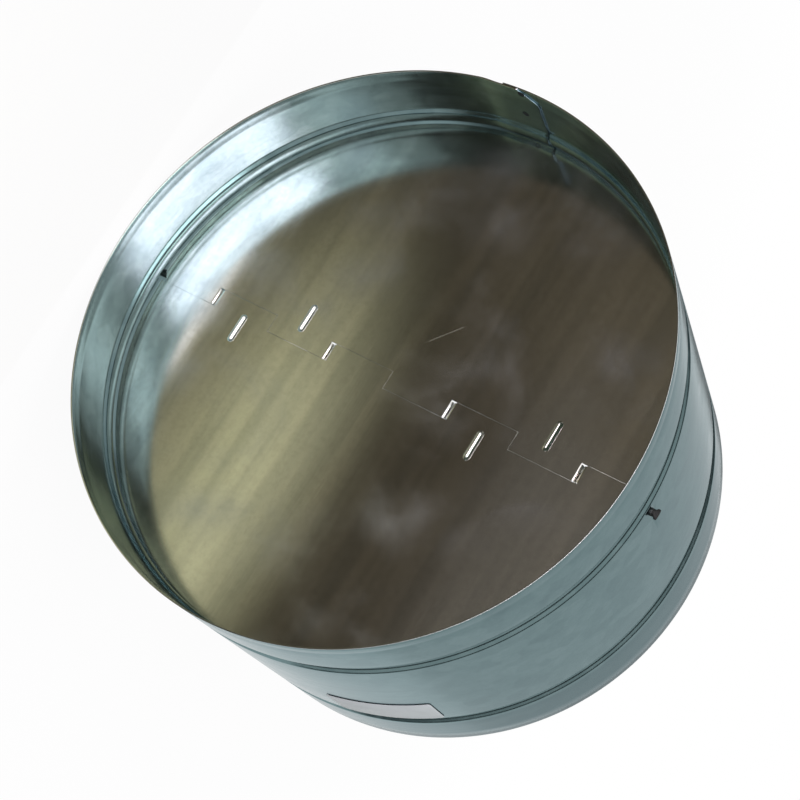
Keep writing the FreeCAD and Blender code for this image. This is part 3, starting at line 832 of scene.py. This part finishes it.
for piece, material in ((spindle, drawn_steel("spindle_steel", (92, 92, 90), (150, 150, 146), 0.3,
                                                 burnt_ends=True)),
                        (label, label_paper("label_paper"))):
    piece.data.materials.clear()
    piece.data.materials.append(material)
spring_wire = drawn_steel("spring_wire", (150, 150, 147), (190, 190, 186), 0.22)
for half in springs:
    half.data.materials.clear()
    half.data.materials.append(spring_wire)

# %% [markdown]
# ## The studio
#
# Metal has no look of its own, it shows the room. A pale floor and a white background surround
# the valve, as in the photograph. Out of the camera's sight a brown and olive card lies on the
# floor in front of the inlet: it is what the blades mirror. Photographers do the same when a
# shiny thing must not turn white. The upper inner wall stays dark because it faces the card.

# %% The floor and the card
def studio_sheet(name, low, high, height, material, camera=True):
    shape = bmesh.new()
    bmesh.ops.create_grid(shape, x_segments=1, y_segments=1, size=0.5, matrix=(
        Matrix.Translation(((low[0] + high[0]) / 2, (low[1] + high[1]) / 2, height))
        @ Matrix.Diagonal((high[0] - low[0], high[1] - low[1], 1, 1))))
    mesh = bpy.data.meshes.new(name)
    shape.to_mesh(mesh)
    shape.free()
    sheet = bpy.data.objects.new(name, mesh)
    bpy.context.scene.collection.objects.link(sheet)
    sheet.data.materials.append(material)
    sheet.visible_camera = sheet.visible_shadow = camera
    return sheet


def white_floor():
    floor = Finish("studio_floor")
    rays = [floor.node("ShaderNodeLightPath", {}, {}, output=ray)
            for ray in ("Is Camera Ray", "Is Glossy Ray", "Is Transmission Ray")]
    x, y, z = floor.split(floor.place())
    faraway = (x * x + y * y).between(0.2, 1.2)
    seen = rays[0] * (0.94 + 0.06 * faraway) + rays[1] + rays[2]
    matt = floor.node("ShaderNodeBsdfDiffuse", {}, {"Color": (0.8, 0.8, 0.8, 1)})
    white = floor.node("ShaderNodeEmission", {}, {"Color": (1, 1, 1, 1), "Strength": 1.0})
    floor.node_output(floor.node("ShaderNodeMixShader", {}, {0: seen, 1: matt, 2: white}))
    return floor.material


def card_for_reflections():
    card = Finish("reflection_card")
    place = card.place()
    x, y, z = card.split(place)
    bands = card.noise(card.stretch(place, (1.2, 11, 1)), 2.2, 3.0, 0.55, 0.2)
    clouds = card.noise(place, 3.0, 3.0, 0.5)
    green = y.between(-0.305, -0.13) * (1 - y.between(-0.13, -0.02) * 0.6)
    green = green * x.between(-0.20, 0.06) * (1 - x.between(0.15, 0.25))
    grey = (1 - y.between(-0.62, -0.46)) * x.between(-0.30, -0.16)
    brown = card.mix(clouds.between(0.3, 0.7), paint(49, 46, 37), paint(81, 78, 65))
    brown = card.mix(grey * 0.7, brown, paint(94, 94, 87))
    olive = card.mix(bands.between(0.35, 0.65), paint(172, 176, 140), paint(198, 202, 166))
    tone = card.mix(green, brown, olive)
    card.node_output(card.node("ShaderNodeBsdfDiffuse", {}, {"Color": tone}))
    return card.material


FLOOR = -0.1575
studio_sheet("floor", (-9, -9), (9, 9), FLOOR, white_floor())
studio_sheet("card", (-2.4, -5.5), (1.8, -0.012), FLOOR + 0.0004, card_for_reflections(),
             camera=False)

# %% [markdown]
# Two grey flags do for the outside what the card does for the blades. One is a wide arch over the
# valve and one lies on the floor behind it. The plain wall looks between them at the white
# background, and only the flanks of the beads lean far enough to catch them, so that each groove
# reads as a dark line. Nothing but a mirror image of them can be seen.

# %% The flags
def grey_cloth():
    cloth = Finish("grey_cloth")
    cloth.node_output(cloth.node("ShaderNodeBsdfDiffuse", {}, {"Color": paint(124, 129, 129)}))
    return cloth.material


arch_shape = bmesh.new()
ARCH_RADIUS = 1.5
Pen(arch_shape, (ARCH_RADIUS, 0.16, FLOOR)).to((ARCH_RADIUS, 1.05, FLOOR))
bmesh.ops.spin(arch_shape, geom=arch_shape.verts[:] + arch_shape.edges[:], cent=(0, 0, FLOOR),
               axis=(0, 1, 0), angle=-math.pi, steps=48)
arch_mesh = bpy.data.meshes.new("arch")
arch_shape.to_mesh(arch_mesh)
arch_shape.free()
arch = bpy.data.objects.new("arch", arch_mesh)
bpy.context.scene.collection.objects.link(arch)
arch.data.materials.append(grey_cloth())
behind = studio_sheet("behind", (-0.9, 0.25), (0.15, 3.5), FLOOR + 0.0004, arch.data.materials[0],
                      camera=False)
for flag in (arch, behind):
    flag.visible_camera = flag.visible_shadow = flag.visible_diffuse = False

# %% The white background
world = bpy.data.worlds.new("studio")
bpy.context.scene.world = world
world.use_nodes = True
nodes, links = world.node_tree.nodes, world.node_tree.links
nodes.clear()
rays = nodes.new("ShaderNodeLightPath")
seen = nodes.new("ShaderNodeMath")
seen.operation = "MAXIMUM"
links.new(rays.outputs["Is Camera Ray"], seen.inputs[0])
either = nodes.new("ShaderNodeMath")
either.operation = "MAXIMUM"
links.new(rays.outputs["Is Glossy Ray"], either.inputs[0])
links.new(rays.outputs["Is Transmission Ray"], either.inputs[1])
links.new(either.outputs[0], seen.inputs[1])
strength = nodes.new("ShaderNodeMix")
strength.inputs["A"].default_value = 0.55
strength.inputs["B"].default_value = 1.0
links.new(seen.outputs[0], strength.inputs["Factor"])
sky = nodes.new("ShaderNodeBackground")
links.new(strength.outputs[0], sky.inputs["Strength"])
end = nodes.new("ShaderNodeOutputWorld")
links.new(sky.outputs[0], end.inputs["Surface"])

# %% [markdown]
# Four soft lamps do the lighting. The key hangs in front and brightens the foot of the inlet, and
# through it the edge of the blades. It is rolled a little, so that its mirror image fades towards
# one side as in the photograph. A high lamp and a low, wide one fill in round it, and a lamp from
# above evens out the outside without being mirrored itself.

# %% The lamps
def softbox(name, place, aim, width, height, power, tint=(1, 1, 1), roll=0.0):
    lamp = bpy.data.lights.new(name, "AREA")
    lamp.shape = "RECTANGLE"
    lamp.size, lamp.size_y, lamp.energy, lamp.color = width, height, power, tint
    holder = bpy.data.objects.new(name, lamp)
    bpy.context.scene.collection.objects.link(holder)
    holder.location = place
    facing = (Vector(aim) - Vector(place)).to_track_quat("-Z", "Y")
    holder.rotation_euler = (facing @ Quaternion((0, 0, 1), math.radians(roll))).to_euler()
    return holder


KEY_ROLL = -12
softbox("key", (0.16, -1.44, 0.90), (0, 0, 0), 1.34, 0.42, 14.5, (1.0, 0.80, 0.93), KEY_ROLL)
softbox("high", (0.0, -0.78, 1.45), (0, 0, 0), 1.4, 0.4, 9, (0.96, 0.98, 1.0))
softbox("glow", (0.0, -1.83, 0.52), (0, 0, 0), 3.4, 0.5, 8.5, (0.97, 0.94, 1.0))
overhead = softbox("top", (0.3, 0.5, 1.8), (0, 0.1, 0), 1.6, 1.6, 9, (0.97, 0.99, 1.0))
overhead.visible_glossy = False

# %% [markdown]
# ## The camera
#
# The place and the turn of the camera were solved from the rims, the beads and the zigzag seam in
# the photograph. The valve lay on its side there, so the camera is rolled by about 117 degrees.

# %% Set up the camera
lens_in_pixels = 1605.6
right = Vector((-0.51886, 0.27789, 0.80843))
forward = Vector((-0.18581, 0.88642, -0.42395))
right = (right - forward * right.dot(forward)).normalized()
upwards = right.cross(forward)
camera_data = bpy.data.cameras.new("camera")
camera_data.sensor_width = 36
camera_data.lens = 36 * lens_in_pixels / 800
camera_data.shift_x = -(410 - 400) / 800
camera_data.shift_y = (440 - 400) / 800
camera = bpy.data.objects.new("camera", camera_data)
bpy.context.scene.collection.objects.link(camera)
turn = Matrix((right, upwards, -forward)).transposed().to_4x4()
camera.matrix_world = Matrix.Translation((0.17584, -0.67874, 0.37717)) @ turn
bpy.context.scene.camera = camera
bpy.context.scene.view_settings.view_transform = "Standard"
